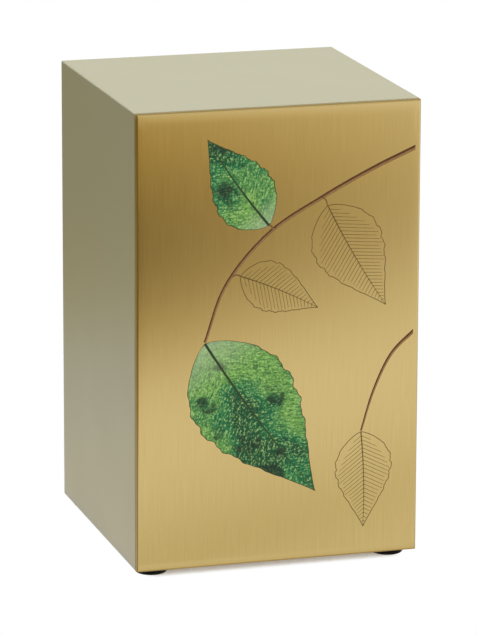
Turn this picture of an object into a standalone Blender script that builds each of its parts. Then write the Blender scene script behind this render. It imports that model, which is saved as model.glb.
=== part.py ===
"""Square cremation urn: a lacquered box with a brushed brass front plate on four round feet.

Sizes are in metres and +Z is up. The front looks along -Y. The origin is on the surface that the urn
stands on, under the middle of its outline.
"""

import math

import bpy

# Box of 12 mm board, glued and lacquered as one piece and open below
BODY_WIDTH = 0.160
BODY_DEPTH = 0.1567
BODY_HEIGHT = 0.254
WALL_THICKNESS = 0.012
TOP_THICKNESS = 0.012
BODY_EDGE_RADIUS = 0.0008
BODY_EDGE_SEGMENTS = 3

# Brass front plate, glued to the box and almost flush with it all round
PLATE_THICKNESS = 0.003
PLATE_REVEAL = 0.0002
PLATE_EDGE_RADIUS = 0.0012
PLATE_EDGE_SEGMENTS = 5
GLUE_GAP = 0.0003

# Closing board, let into a rebate in the box's lower edge
BASE_THICKNESS = 0.006
BASE_EDGE_CHAMFER = 0.0004
REBATE_LIP = 0.0025
BASE_CLEARANCE = 0.0004
CONTACT_GAP = 0.0003

# Round rubber feet under the corners of the closing board
FOOT_DIAMETER = 0.0176
FOOT_HEIGHT = 0.0042
FOOT_EDGE_RADIUS = 0.0012
FOOT_MARGIN = 0.0003
FOOT_STEPS = 48
FOOT_ARC_STEPS = 5

# Countersunk screws, one in the middle of each side of the closing board
SCREW_DIAMETER = 0.003
SCREW_LENGTH = 0.016
SCREW_HEAD_DIAMETER = 0.0056
SCREW_HEAD_HEIGHT = 0.0016
SCREW_TIP_LENGTH = 0.002
SCREW_CLEARANCE = 0.0003
SCREW_STEPS = 24
PILOT_EXTRA_DEPTH = 0.001
RECESS_LENGTH = 0.0028
RECESS_WIDTH = 0.0007
RECESS_DEPTH = 0.0011

# How far a cutter runs past the face that it opens
CUT_OVERRUN = 0.002

BODY_BOTTOM = FOOT_HEIGHT
BODY_TOP = BODY_BOTTOM + BODY_HEIGHT
BODY_CENTRE_Y = (GLUE_GAP + PLATE_THICKNESS) / 2
BODY_FRONT = BODY_CENTRE_Y - BODY_DEPTH / 2

CHAMPAGNE = (0.56, 0.52, 0.38, 1.0)
BRASS = (0.60, 0.42, 0.16, 1.0)
BLACK_BOARD = (0.03, 0.03, 0.03, 1.0)
BLACK_RUBBER = (0.01, 0.01, 0.01, 1.0)
ZINC = (0.60, 0.60, 0.58, 1.0)


def clear_scene():
    for old in list(bpy.data.objects):
        bpy.data.objects.remove(old, do_unlink=True)


def make_collection(name, hidden=False):
    collection = bpy.data.collections.new(name)
    bpy.context.scene.collection.children.link(collection)
    collection.hide_render = hidden
    return collection


def make_material(name, colour, roughness, metallic):
    material = bpy.data.materials.new(name)
    material.use_nodes = True
    shader = material.node_tree.nodes["Principled BSDF"]
    shader.inputs["Base Color"].default_value = colour
    shader.inputs["Roughness"].default_value = roughness
    shader.inputs["Metallic"].default_value = metallic
    material.diffuse_color = colour
    return material


def move_to(obj, collection):
    for old in list(obj.users_collection):
        old.objects.unlink(obj)
    collection.objects.link(obj)


def as_cutter(obj):
    move_to(obj, bpy.data.collections["cutters"])
    obj.hide_render = True
    obj.display_type = "WIRE"
    return obj


def as_piece(obj, parent, material):
    move_to(obj, bpy.data.collections["cremation_urn"])
    obj.data.materials.append(material)
    obj.parent = parent
    return obj


def add_box(name, size, centre):
    bpy.ops.mesh.primitive_cube_add(size=1.0, location=centre)
    box = bpy.context.object
    box.name = name
    box.data.name = name
    box.scale = size
    bpy.ops.object.transform_apply(location=False, rotation=False, scale=True)
    return box


def add_turned(name, profile, centre, steps):
    """A solid of revolution about +Z. The profile is (radius, height) pairs from the top down its outside."""
    mesh = bpy.data.meshes.new(name)
    points = [(radius, 0.0, height) for radius, height in profile]
    mesh.from_pydata(points, [(i, i + 1) for i in range(len(points) - 1)], [])
    turned = bpy.data.objects.new(name, mesh)
    bpy.context.scene.collection.objects.link(turned)
    turned.location = centre
    screw = turned.modifiers.new("turn", "SCREW")
    screw.axis = "Z"
    screw.steps = steps
    screw.render_steps = steps
    screw.use_merge_vertices = True
    screw.merge_threshold = 0.00001
    screw.use_smooth_shade = False
    return turned


def add_bevel(obj, width, segments, limit="ANGLE"):
    bevel = obj.modifiers.new("edges", "BEVEL")
    bevel.width = width
    bevel.segments = segments
    bevel.limit_method = limit
    return bevel


def cut(obj, cutter):
    boolean = obj.modifiers.new("cut_" + cutter.name, "BOOLEAN")
    boolean.operation = "DIFFERENCE"
    boolean.solver = "EXACT"
    boolean.object = cutter


def mid_side_places():
    """The side's name and the screw's x and y, with the screw in the middle of the wall's ledge."""
    inset = REBATE_LIP + (WALL_THICKNESS - REBATE_LIP) / 2
    reach_x = BODY_WIDTH / 2 - inset
    reach_y = BODY_DEPTH / 2 - inset
    return {
        "front": (0.0, BODY_CENTRE_Y - reach_y),
        "back": (0.0, BODY_CENTRE_Y + reach_y),
        "left": (-reach_x, BODY_CENTRE_Y),
        "right": (reach_x, BODY_CENTRE_Y),
    }


def corner_places():
    """The corner's name and the foot's x and y, with the foot just inside the closing board's edges."""
    inset = REBATE_LIP + BASE_CLEARANCE + FOOT_MARGIN + FOOT_DIAMETER / 2
    places = {}
    for end, along_y in (("front", -1), ("back", 1)):
        for side, along_x in (("left", -1), ("right", 1)):
            x = along_x * (BODY_WIDTH / 2 - inset)
            y = BODY_CENTRE_Y + along_y * (BODY_DEPTH / 2 - inset)
            places[end + "_" + side] = (x, y)
    return places


def make_body(parent, material):
    body = add_box(
        "body",
        (BODY_WIDTH, BODY_DEPTH, BODY_HEIGHT),
        (0.0, BODY_CENTRE_Y, BODY_BOTTOM + BODY_HEIGHT / 2),
    )
    add_bevel(body, BODY_EDGE_RADIUS, BODY_EDGE_SEGMENTS)

    chamber_height = BODY_HEIGHT - TOP_THICKNESS + CUT_OVERRUN
    chamber = add_box(
        "chamber_cutter",
        (BODY_WIDTH - 2 * WALL_THICKNESS, BODY_DEPTH - 2 * WALL_THICKNESS, chamber_height),
        (0.0, BODY_CENTRE_Y, BODY_TOP - TOP_THICKNESS - chamber_height / 2),
    )
    cut(body, as_cutter(chamber))

    rebate_height = BASE_THICKNESS + CONTACT_GAP + CUT_OVERRUN
    rebate = add_box(
        "rebate_cutter",
        (BODY_WIDTH - 2 * REBATE_LIP, BODY_DEPTH - 2 * REBATE_LIP, rebate_height),
        (0.0, BODY_CENTRE_Y, BODY_BOTTOM + BASE_THICKNESS + CONTACT_GAP - rebate_height / 2),
    )
    cut(body, as_cutter(rebate))

    pilot_top = BODY_BOTTOM + SCREW_LENGTH + PILOT_EXTRA_DEPTH
    for side, (x, y) in mid_side_places().items():
        radius = SCREW_DIAMETER / 2 + SCREW_CLEARANCE
        profile = [(0.0, pilot_top), (radius, pilot_top), (radius, BODY_BOTTOM), (0.0, BODY_BOTTOM)]
        cutter = add_turned("pilot_cutter_" + side, profile, (x, y, 0.0), SCREW_STEPS)
        cut(body, as_cutter(cutter))
    return as_piece(body, parent, material)


def make_front_plate(parent, material):
    size = (BODY_WIDTH - 2 * PLATE_REVEAL, PLATE_THICKNESS, BODY_HEIGHT - 2 * PLATE_REVEAL)
    centre = (0.0, BODY_FRONT - GLUE_GAP - PLATE_THICKNESS / 2, BODY_BOTTOM + BODY_HEIGHT / 2)
    plate = add_box("front_plate", size, centre)
    weights = plate.data.attributes.new("bevel_weight_edge", "FLOAT", "EDGE")
    for edge in plate.data.edges:
        ends = [plate.data.vertices[index].co for index in edge.vertices]
        on_front = all(end.y < 0.0 for end in ends)
        weights.data[edge.index].value = 1.0 if on_front else 0.0
    add_bevel(plate, PLATE_EDGE_RADIUS, PLATE_EDGE_SEGMENTS, limit="WEIGHT")
    return as_piece(plate, parent, material)


def make_base_board(parent, material):
    gap = 2 * (REBATE_LIP + BASE_CLEARANCE)
    board = add_box(
        "base_board",
        (BODY_WIDTH - gap, BODY_DEPTH - gap, BASE_THICKNESS),
        (0.0, BODY_CENTRE_Y, BODY_BOTTOM + BASE_THICKNESS / 2),
    )
    add_bevel(board, BASE_EDGE_CHAMFER, 1)

    hole = SCREW_DIAMETER / 2 + SCREW_CLEARANCE
    sink = SCREW_HEAD_DIAMETER / 2 + SCREW_CLEARANCE
    sink_top = BODY_BOTTOM + SCREW_HEAD_HEIGHT + SCREW_CLEARANCE
    top = BODY_BOTTOM + BASE_THICKNESS + CUT_OVERRUN
    bottom = BODY_BOTTOM - CUT_OVERRUN
    for side, (x, y) in mid_side_places().items():
        profile = [(0.0, top), (hole, top), (hole, sink_top), (sink, BODY_BOTTOM), (sink, bottom), (0.0, bottom)]
        cutter = add_turned("sink_cutter_" + side, profile, (x, y, 0.0), SCREW_STEPS)
        cut(board, as_cutter(cutter))
    return as_piece(board, parent, material)


def make_foot(name, place, parent, material):
    radius = FOOT_DIAMETER / 2
    top = FOOT_HEIGHT - CONTACT_GAP
    profile = [(0.0, top), (radius, top)]
    for step in range(FOOT_ARC_STEPS + 1):
        turn = math.radians(90.0 * step / FOOT_ARC_STEPS)
        out = radius - FOOT_EDGE_RADIUS + FOOT_EDGE_RADIUS * math.cos(turn)
        up = FOOT_EDGE_RADIUS - FOOT_EDGE_RADIUS * math.sin(turn)
        profile.append((out, up))
    profile.append((0.0, 0.0))
    foot = add_turned(name, profile, (place[0], place[1], 0.0), FOOT_STEPS)
    return as_piece(foot, parent, material)


def make_screw(name, place, parent, material):
    shank = SCREW_DIAMETER / 2
    head = SCREW_HEAD_DIAMETER / 2
    tip = BODY_BOTTOM + SCREW_LENGTH
    profile = [
        (0.0, tip),
        (shank, tip - SCREW_TIP_LENGTH),
        (shank, BODY_BOTTOM + SCREW_HEAD_HEIGHT),
        (head, BODY_BOTTOM),
        (0.0, BODY_BOTTOM),
    ]
    screw = add_turned(name, profile, (place[0], place[1], 0.0), SCREW_STEPS)
    recess_centre = (place[0], place[1], BODY_BOTTOM + (RECESS_DEPTH - CUT_OVERRUN) / 2)
    for arm, size_x, size_y in (("x", RECESS_LENGTH, RECESS_WIDTH), ("y", RECESS_WIDTH, RECESS_LENGTH)):
        size = (size_x, size_y, RECESS_DEPTH + CUT_OVERRUN)
        cutter = add_box(name + "_recess_" + arm, size, recess_centre)
        cut(screw, as_cutter(cutter))
    return as_piece(screw, parent, material)


def main():
    clear_scene()
    make_collection("cremation_urn")
    make_collection("cutters", hidden=True)
    lacquer = make_material("champagne_lacquer", CHAMPAGNE, 0.40, 0.2)
    brass = make_material("brushed_brass", BRASS, 0.35, 1.0)
    board = make_material("black_board", BLACK_BOARD, 0.70, 0.0)
    rubber = make_material("black_rubber", BLACK_RUBBER, 0.60, 0.0)
    zinc = make_material("zinc_plated_steel", ZINC, 0.35, 1.0)

    urn = bpy.data.objects.new("urn", None)
    bpy.data.collections["cremation_urn"].objects.link(urn)

    make_body(urn, lacquer)
    make_front_plate(urn, brass)
    make_base_board(urn, board)
    for corner, place in corner_places().items():
        make_foot("foot_" + corner, place, urn, rubber)
    for side, place in mid_side_places().items():
        make_screw("base_screw_" + side, place, urn, zinc)


main()
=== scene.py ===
"""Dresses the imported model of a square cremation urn, and sets it in a plain studio.

The urn is a satin lacquered box with a brushed brass plate on its front. The plate is printed with a spray
of leaves. Sizes are in metres and the front looks along -Y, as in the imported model. Places on the plate are
(across, up) pairs from its lower left corner.
"""

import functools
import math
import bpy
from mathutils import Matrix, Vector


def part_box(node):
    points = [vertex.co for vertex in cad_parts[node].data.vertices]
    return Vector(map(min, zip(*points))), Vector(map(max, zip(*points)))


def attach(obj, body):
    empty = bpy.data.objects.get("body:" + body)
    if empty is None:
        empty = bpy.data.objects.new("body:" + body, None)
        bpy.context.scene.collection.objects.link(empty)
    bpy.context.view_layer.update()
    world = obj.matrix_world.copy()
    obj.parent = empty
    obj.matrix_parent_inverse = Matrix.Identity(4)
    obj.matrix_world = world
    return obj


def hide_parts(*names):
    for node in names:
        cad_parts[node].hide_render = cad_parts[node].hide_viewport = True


bl_info = {
    "name": "Cremation Urn",
    "version": (1, 0, 0),
    "blender": (4, 5, 0),
    "location": "View3D > Sidebar > Urn",
    "description": "Builds a lacquered box urn with a printed brass front plate, its base and its studio",
    "category": "Object",
}

from typing import NamedTuple

import bmesh
import bpy
from mathutils import Matrix, Vector
from mathutils.geometry import delaunay_2d_cdt

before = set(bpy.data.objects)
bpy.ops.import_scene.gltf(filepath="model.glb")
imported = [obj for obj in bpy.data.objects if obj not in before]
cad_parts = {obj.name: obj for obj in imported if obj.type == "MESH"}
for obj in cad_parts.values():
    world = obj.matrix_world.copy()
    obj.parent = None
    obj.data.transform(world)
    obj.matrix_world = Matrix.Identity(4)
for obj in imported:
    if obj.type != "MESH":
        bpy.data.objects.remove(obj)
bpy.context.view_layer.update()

MM = 0.001

BODY_LOW, BODY_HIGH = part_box("body")
PLATE_LOW, PLATE_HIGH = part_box("front_plate")
BOARD_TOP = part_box("base_board")[1].z
PLATE_WIDTH = PLATE_HIGH.x - PLATE_LOW.x
PLATE_HEIGHT = PLATE_HIGH.z - PLATE_LOW.z
PLATE_THICKNESS = PLATE_HIGH.y - PLATE_LOW.y

TINY = 0.001 * MM
CUTTER_OVERRUN = 2 * MM
EDGE_SEGMENTS = 6
HOLE_STEPS = 24
SCREW_STEPS = 48
FOOT_STEPS = 64
NEAR_CORNER = 0.4 * MM
EDGE_SPACING = 6 * MM
CORNER_STEPS = 6
RIM_STEPS = 7
ROLL_OFF_STEPS = 5
RING_DEGREES = 8
CLEAR_OF_OUTLINE = 0.05 * MM
STRAIGHT_ON = 0.5
# Cut edges: dull past this tilt, with a painted highlight near the top and painted shade below it
DULL_AND_SHADED_TILT = math.radians(42)
TOP_HIGHLIGHT_DEPTHS = (3 * MM, 1 * MM)
EDGE_SHADE_VALUE = 0.62
FOOT_ARC_STEPS = 8
DIMPLE_FLOOR_SHARE = 0.7
DIMPLE_DEPTH_SHARE = 0.15
FOOT_NODES = ("foot_front_left", "foot_front_right", "foot_back_left", "foot_back_right")
SCREW_NODES = ("base_screw_front", "base_screw_back", "base_screw_left", "base_screw_right")
CONTACT_GAP = 0.3 * MM

CAMERA_PLACE = (-0.6750, -2.2736, 0.7174)
CAMERA_YAW = 16.556
CAMERA_PITCH = 14.075
CAMERA_ROLL = 0.175
CAMERA_LENS = 248.09
TABLE_REACH = 8.0
TABLE_THICKNESS = 0.02
CARD_HEIGHT = 0.5 * MM
# Painted shadow on the table: occlusion reach, where it fades out across, and the sky shares of its stops
SHADOW_REACH = 60 * MM
SHADOW_SIDES = (67 * MM, 73 * MM)
SKY_SHARES = (0.030, 0.060, 0.110, 0.155)
KEY_HEIGHT = 4.0
KEY_RADIUS = 3.0
LEFT_RANGE = (-0.5, 0.1)
SWEEP_RANGE = (0.2, 0.9)
HORIZON = (-0.02, 0.02)


class MirrorCard(NamedTuple):
    """A card flat on the table that only reflections see, for what the urn mirrors of the room past it.

    The shade gives how dark the room is at some distances from the urn, counted along a direction. It fades
    between two places across, from one share to another. The glow is how bright the room is where it is
    white. White and far name the settings for its white parts and for the tint of its far end.
    """

    name: str
    low: tuple
    high: tuple
    direction: tuple
    shade: tuple
    fade: tuple
    glow: float
    white: str
    far: str


SHADE_REACH = 2.0
FAR_RANGE = (0.6, 0.95)
FRONT_ROOM = (1.17, "room_white", "room_far")
SIDE_ROOM = (1.41, "side_white", "room_white")
ROOM_TONES = (0.3, 0.5, 0.7, 1.0)
FRONT_SHADE = (
    (0.06, 0.15), (0.135, 0.21), (0.18, 0.19), (0.23, 0.13), (0.30, 0.07), (0.39, 0.05),
    (0.46, 0.11), (0.52, 0.24), (0.59, 0.40), (0.66, 0.57), (0.73, 0.69), (0.80, 0.75),
    (0.90, 0.77), (1.0, 0.67), (1.1, 0.58), (1.2, 0.51), (1.4, 0.47),
)
LEFT_SHADE = ((0.10, 0.25), (0.30, 0.30), (0.45, 0.55), (0.60, 0.78))
SIDE_SHADE = ((0.10, 0.0), (0.20, 0.08), (0.40, 0.27), (0.5, 0.45), (0.65, 0.66), (0.85, 0.74))
NO_FADE = (0.0, 1.0, 1.0, 1.0)
FRONT_FADE = (0.03, 0.595, 1.3, 0.0)
# Painted shadow: the contact card is a dark sheet under the urn's front, for its shadow as its lower edge
# mirrors it
CONTACT_SHADE = ((0.080, 0.48), (0.088, 0.30), (0.103, 0.15))

# Where the cards end: far off, left of the urn, before it, under its front and beside it
FAR = TABLE_REACH
LEFT = -0.12
NEAR = -0.103
UNDER = -0.079
BESIDE = -0.085
MIRROR_CARDS = (
    MirrorCard("contact_card", (LEFT, NEAR), (FAR, UNDER), (0, -1, 0), CONTACT_SHADE, NO_FADE, *FRONT_ROOM),
    MirrorCard("front_card", (LEFT, -FAR), (FAR, NEAR), (-0.65, -1, 0), FRONT_SHADE, FRONT_FADE, *FRONT_ROOM),
    MirrorCard("left_card", (-FAR, -FAR), (LEFT, BESIDE), (-0.7, -0.7, 0), LEFT_SHADE, NO_FADE, *FRONT_ROOM),
    MirrorCard("side_card", (-FAR, BESIDE), (BESIDE, FAR), (0, 1, 0), SIDE_SHADE, NO_FADE, *SIDE_ROOM),
)


def middle_of(node):
    low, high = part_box(node)
    return (low + high) / 2


def spread_of(nodes):
    """How far apart four like nodes stand across and in depth, and the middle between them in depth."""
    middles = [middle_of(node) for node in nodes]
    across = [middle.x for middle in middles]
    depth = [middle.y for middle in middles]
    return {
        "Width": max(across) - min(across),
        "Depth": max(depth) - min(depth),
        "Centre Y": (max(depth) + min(depth)) / 2,
    }


# Colours

def linear(hex_colour):
    """An sRGB hex colour such as #C8B478 as linear red, green, blue and alpha."""
    channels = [int(hex_colour[place : place + 2], 16) / 255 for place in (1, 3, 5)]
    return tuple(c / 12.92 if c <= 0.04045 else ((c + 0.055) / 1.055) ** 2.4 for c in channels) + (1.0,)


def colour_setting(name, description, hex_colour):
    shown = {"subtype": "COLOR", "size": 4, "min": 0.0, "max": 1.0}
    return bpy.props.FloatVectorProperty(
        name=name, description=description, default=linear(hex_colour), **shown
    )


def length_setting(name, description, metres):
    return bpy.props.FloatProperty(name=name, description=description, unit="LENGTH", min=0.0, default=metres)


def strength_setting(name, description, strength):
    return bpy.props.FloatProperty(name=name, description=description, min=0.0, default=strength)


class UrnBodySettings(bpy.types.PropertyGroup):
    wall: length_setting("Wall", "Thickness of the side boards and the top board", 12.0 * MM)
    lip: length_setting("Lip", "Width of the lip around the closing board", 2.5 * MM)
    edge_radius: length_setting("Edge radius", "Radius of the lacquered edges", 0.8 * MM)
    lacquer: colour_setting("Lacquer", "Champagne lacquer with a fine pearl pigment", "#807F69")
    flake: length_setting("Flake", "Size of a speck of the pearl pigment", 0.5 * MM)
    peel: length_setting("Orange peel", "Distance between the waves in the sprayed lacquer", 4.0 * MM)
    bare_board: colour_setting("Bare board", "Fibreboard inside the box", "#8F7350")
    pilot_hole: length_setting("Pilot hole", "Diameter of the holes for the base screws", 3.6 * MM)


class UrnPlateSettings(bpy.types.PropertyGroup):
    edge_radius: length_setting("Edge radius", "Radius of the plate's front edges", 1.2 * MM)
    corner_radius: length_setting("Corner radius", "Radius of the plate's corners in front view", 0.5 * MM)
    roll_off: length_setting("Roll-off", "How far in from an edge the face is worn down", 8.0 * MM)
    top_drop: length_setting("Top drop", "How far the face falls away at its top edge", 0.15 * MM)
    side_drop: length_setting("Side drop", "How far the face falls away at its other edges", 0.08 * MM)
    brass: colour_setting("Brass", "Lacquered brass, as it reflects white light", "#C8B17A")
    # Darker than the brass: partly the dull cut edge, partly painted shade along the side seams and the lower
    # edge
    cut_edge_and_shade: colour_setting("Cut edge", "Dull brass of the plate's cut edges", "#A8935C")
    grain: length_setting("Grain", "Width of a bundle of brushing lines", 0.42 * MM)
    grain_length: length_setting("Grain length", "Length of a brushing line", 28.0 * MM)
    leaf_dark: colour_setting("Leaf shade", "Dark green in the printed leaves", "#13492D")
    leaf_mid: colour_setting("Leaf green", "Middle green of the printed leaves", "#1B6E41")
    leaf_light: colour_setting("Leaf light", "Yellow green in the printed leaves", "#679848")
    leaf_fibre: colour_setting("Leaf fibres", "Pale fibres and specks in the printed leaves", "#A8CC7C")
    leaf_blot: colour_setting("Leaf blots", "Near-black blotches in the printed leaves", "#1A261E")
    leaf_pale: colour_setting("Leaf base", "Pale end of the printed leaves at the stalk", "#A3B491")
    leaf_rib: colour_setting("Leaf ribs", "Midrib and margin of the printed leaves", "#2C3A22")
    fibre: length_setting("Fibre", "Distance between the fibres in the printed leaves", 0.9 * MM)
    fibre_length: length_setting("Fibre length", "Length of the fibres in the printed leaves", 3.2 * MM)
    twig: colour_setting("Twig", "Brown of the printed twigs", "#4F3113")
    twig_light: colour_setting("Twig light", "Lit side of the printed twigs", "#8C6640")
    ink: colour_setting("Ink", "Thin lines of the drawn leaves", "#5F4A1E")


class UrnBaseSettings(bpy.types.PropertyGroup):
    foot_edge: length_setting("Foot edge", "Radius of a foot's lower edge", 1.2 * MM)
    foot_bevel: length_setting("Foot bevel", "Bevel round a foot's top", 0.15 * MM)
    foot_dimple: length_setting("Foot dimple", "Radius of the moulding mark under a foot", 2.0 * MM)
    screw_shank: length_setting("Screw shank", "Diameter of a base screw", 3.0 * MM)
    screw_tip: length_setting("Screw tip", "Length of a base screw's point", 2.0 * MM)
    screw_head: length_setting("Screw head", "Height of a base screw's countersunk head", 1.6 * MM)
    screw_rim: length_setting("Screw rim", "Bevel round a base screw's head", 0.12 * MM)
    recess_arm: length_setting("Recess arm", "Length of the cross recess in a screw's head", 2.8 * MM)
    recess_width: length_setting("Recess width", "Width of the arms of the cross recess", 0.7 * MM)
    recess_depth: length_setting("Recess depth", "Depth of the cross recess", 1.1 * MM)
    rubber: colour_setting("Rubber", "Black rubber of the feet", "#0D0A08")
    board: colour_setting("Board", "Black laminate on the closing board", "#211F1D")
    zinc: colour_setting("Zinc", "Zinc plating on the screws", "#C4C6C8")


class UrnStudioSettings(bpy.types.PropertyGroup):
    table: colour_setting("Table", "White acrylic, lit from below", "#FFFFFF")
    # Colours of the table's painted shadow
    shadow: colour_setting("Shadow", "Warm shadow deep under the urn", "#8A795C")
    shadow_middle: colour_setting("Half shadow", "Shadow nearer the edge of the urn", "#B8AE9F")
    shadow_edge: colour_setting("Shadow edge", "Palest part of the shadow", "#EFECE6")
    off_table: strength_setting("Off the table", "Brightness of the table, as the urn is lit by it", 1.15)
    room_dark: colour_setting("Dark room", "Darkest parts of the room, as the urn mirrors them", "#93803B")
    room_mid: colour_setting("Dim room", "Dim parts of the room, as the urn mirrors them", "#B9A050")
    room_pale: colour_setting("Pale room", "Pale parts of the room, as the urn mirrors them", "#DBD7C2")
    room_white: colour_setting("White room", "White parts of the room, as the urn mirrors them", "#FFFFFF")
    room_far: colour_setting("Far room", "Tint of the far end of the room", "#FFF8C9")
    side_white: colour_setting("Warm side", "White parts of the room on the left of the urn", "#FFF1D6")
    wall: colour_setting("Left wall", "The dim wall on the left", "#746F60")
    tent: colour_setting("Tent", "White cloth in front, on the right and behind", "#F8F4EB")
    key: bpy.props.FloatProperty(
        name="Key", description="Power of the soft light overhead", unit="POWER", min=0.0, default=346.0
    )


# Leaves, twigs and lines of the print

class Leaf(NamedTuple):
    """A leaf blade. Its midrib runs from the stalk's end at an angle above the plate's width, and bows."""

    name: str
    base: tuple
    turn: float
    length: float
    width: float
    bow: float


class Twig(NamedTuple):
    """A twig through some points, as wide as it says at its start and at its end."""

    points: tuple
    start_width: float
    end_width: float


def in_mm(*points):
    return tuple((across * MM, up * MM) for across, up in points)


LARGE_LEAF = Leaf("large", (38 * MM, 126 * MM), -58, 108 * MM, 58 * MM, 7 * MM)
SMALL_LEAF = Leaf("small", (74 * MM, 189 * MM), 130, 60 * MM, 35 * MM, -5 * MM)
DRAWN_LEAVES = (
    Leaf("drawn_tall", (107 * MM, 198 * MM), -64, 66 * MM, 39 * MM, 5 * MM),
    Leaf("drawn_side", (58 * MM, 162 * MM), -20, 48 * MM, 27 * MM, -4 * MM),
    Leaf("drawn_low", (127 * MM, 70 * MM), -84, 54 * MM, 32 * MM, -4 * MM),
)
TWIGS = (
    Twig(in_mm((157.8, 228), (132, 217), (104, 203), (74, 185), (50, 158), (38, 126.5)), 2.5 * MM, 1.5 * MM),
    Twig(in_mm((157.8, 126), (144, 113), (134, 93), (127, 70.5)), 2.1 * MM, 1.1 * MM),
    Twig(in_mm((78, 187.5), (76, 187.5), (74, 189.5)), 1.1 * MM, 0.9 * MM),
    Twig(in_mm((104, 203), (106, 201), (107, 197.5)), 0.8 * MM, 0.7 * MM),
    Twig(in_mm((53, 162), (55.5, 163), (58.5, 162)), 0.8 * MM, 0.7 * MM),
)
PRINT_RIGHT = PLATE_WIDTH - 3.2 * MM
PRINT_TOP = PLATE_HEIGHT - 1.6 * MM
PRINT_FOOT = 60 * MM
PRINT_LEFT = 20 * MM
PRINT_LIMITS = ((PRINT_RIGHT, PRINT_FOOT), (PRINT_RIGHT, PRINT_TOP), (PRINT_LEFT, PRINT_TOP))
LEAF_EDGE = 0.45 * MM
LEAF_STEPS = 80
LEAF_BELLY = 0.68
LEAF_POINT = 1.12
MARGIN_WAVE = 0.032
MARGIN_WAVES = (8, 19)
FINE_WAVE_SHARE = 0.5
LINE_WIDTH = 0.42 * MM
OUTLINE_SHARES = (1.0, 1.0)
MIDRIB_SHARES = (1.7, 0.6)
VEIN_SHARES = (0.75, 0.5)
VEIN_END = 0.97
VEIN_SPACING = 2.3 * MM
VEIN_SWEEP = 0.62
VEIN_STEPS = 8
TWIG_STEPS = 12
TWIG_LIGHT_SHARE = 0.4
TWIG_LIGHT_SHIFT = 0.22
LIMIT_HALVINGS = 12


def half_width(leaf, share):
    """Half the blade's width at a share of its length, rounded at its base and drawn out to a point."""
    return leaf.width / 2 * math.sin(math.pi * min(1.0, max(0.0, share)) ** LEAF_BELLY) ** LEAF_POINT


def on_plate(leaf, along, aside):
    """Where on the plate a point of a leaf lies, given along its midrib and to its left."""
    bowed = aside + leaf.bow * (along / leaf.length) ** 2
    turn = math.radians(leaf.turn)
    across = leaf.base[0] + along * math.cos(turn) - bowed * math.sin(turn)
    up = leaf.base[1] + along * math.sin(turn) + bowed * math.cos(turn)
    return Vector((across, up))


def blade_outline(leaf, inset=0.0):
    """A blade's wavy outline, anticlockwise from its base up its right side and back down its left."""
    sides = {-1: [], 1: []}
    coarse, fine = MARGIN_WAVES
    for step in range(1, LEAF_STEPS):
        share = step / LEAF_STEPS
        around = 2 * math.pi * share
        ripple = math.sin(coarse * around) + FINE_WAVE_SHARE * math.sin(fine * around)
        wave = 1 + MARGIN_WAVE * ripple * math.sin(math.pi * share)
        for side, points in sides.items():
            aside = half_width(leaf, share) * wave - inset
            if aside > inset:
                points.append(on_plate(leaf, share * leaf.length, side * aside))
    base = on_plate(leaf, inset, 0.0)
    tip = on_plate(leaf, leaf.length - 3 * inset, 0.0)
    return [base] + sides[-1] + [tip] + sides[1][::-1]


def smooth_path(points, steps):
    """Points along a Catmull-Rom curve through the given ones."""
    first, last = Vector(points[0]), Vector(points[-1])
    before, after = 2 * first - Vector(points[1]), 2 * last - Vector(points[-2])
    knots = [before] + [Vector(point) for point in points] + [after]
    path = []
    for a, b, c, d in zip(knots, knots[1:], knots[2:], knots[3:]):
        for step in range(steps):
            t = step / steps
            curve = (3 * b - a - 3 * c + d) * t**3 + (2 * a - 5 * b + 4 * c - d) * t**2 + (c - a) * t
            path.append(b + 0.5 * curve)
    path.append(last)
    return path


def ribbon(path, start_width, end_width, shift=0.0):
    """A path's outline at some width, moved to its left by a share of that width."""
    left, right = [], []
    for place, point in enumerate(path):
        ahead = path[min(place + 1, len(path) - 1)] - path[max(place - 1, 0)]
        aside = Vector((-ahead.y, ahead.x)).normalized()
        width = start_width + (end_width - start_width) * place / (len(path) - 1)
        middle = point + aside * width * shift
        left.append(middle + aside * width / 2)
        right.append(middle - aside * width / 2)
    return right + left[::-1]


def in_print(point):
    return point.x < PRINT_RIGHT and point.y < PRINT_TOP


def print_limit(inner, outer):
    """Where a line from a point inside the print leaves it."""
    for _ in range(LIMIT_HALVINGS):
        middle = (inner + outer) / 2
        if in_print(middle):
            inner = middle
        else:
            outer = middle
    return inner


def printed_runs(path):
    """The stretches of a path that lie inside the print, cut off at its limits."""
    runs, run = [], []
    for before, point in zip(path[:1] + path, path):
        if in_print(point) and not in_print(before):
            run.append(print_limit(point, before))
        if in_print(point):
            run.append(point)
        elif run:
            run.append(print_limit(before, point))
            runs.append(run)
            run = []
    return [run for run in runs + [run] if len(run) > 2]


def drawn_leaf(leaf):
    """A leaf drawn in thin lines: its outline, its midrib and its side veins, as ribbons."""
    outline = blade_outline(leaf)
    tip = outline.index(on_plate(leaf, leaf.length, 0.0))
    paths = [(outline[: tip + 1], OUTLINE_SHARES), (outline[tip:] + outline[:1], OUTLINE_SHARES)]
    midrib = [on_plate(leaf, leaf.length * step / LEAF_STEPS, 0.0) for step in range(0, LEAF_STEPS + 1, 2)]
    paths.append((midrib, MIDRIB_SHARES))
    for number in range(1, int(leaf.length / VEIN_SPACING)):
        start = number * VEIN_SPACING
        for side in (-1, 1):
            vein = []
            for step in range(VEIN_STEPS + 1):
                reach = half_width(leaf, start / leaf.length) * step / VEIN_STEPS
                along = start + VEIN_SWEEP * reach
                if reach < VEIN_END * half_width(leaf, along / leaf.length):
                    vein.append(on_plate(leaf, along, side * reach))
            paths.append((vein, VEIN_SHARES))
    lines = []
    for path, shares in paths:
        widths = [share * LINE_WIDTH for share in shares]
        lines += [ribbon(run, *widths) for run in printed_runs(path)]
    return lines


class Patch(NamedTuple):
    """A flat patch of the print, with the name of its ink. A later patch covers an earlier one."""

    outline: list
    ink: str


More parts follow.
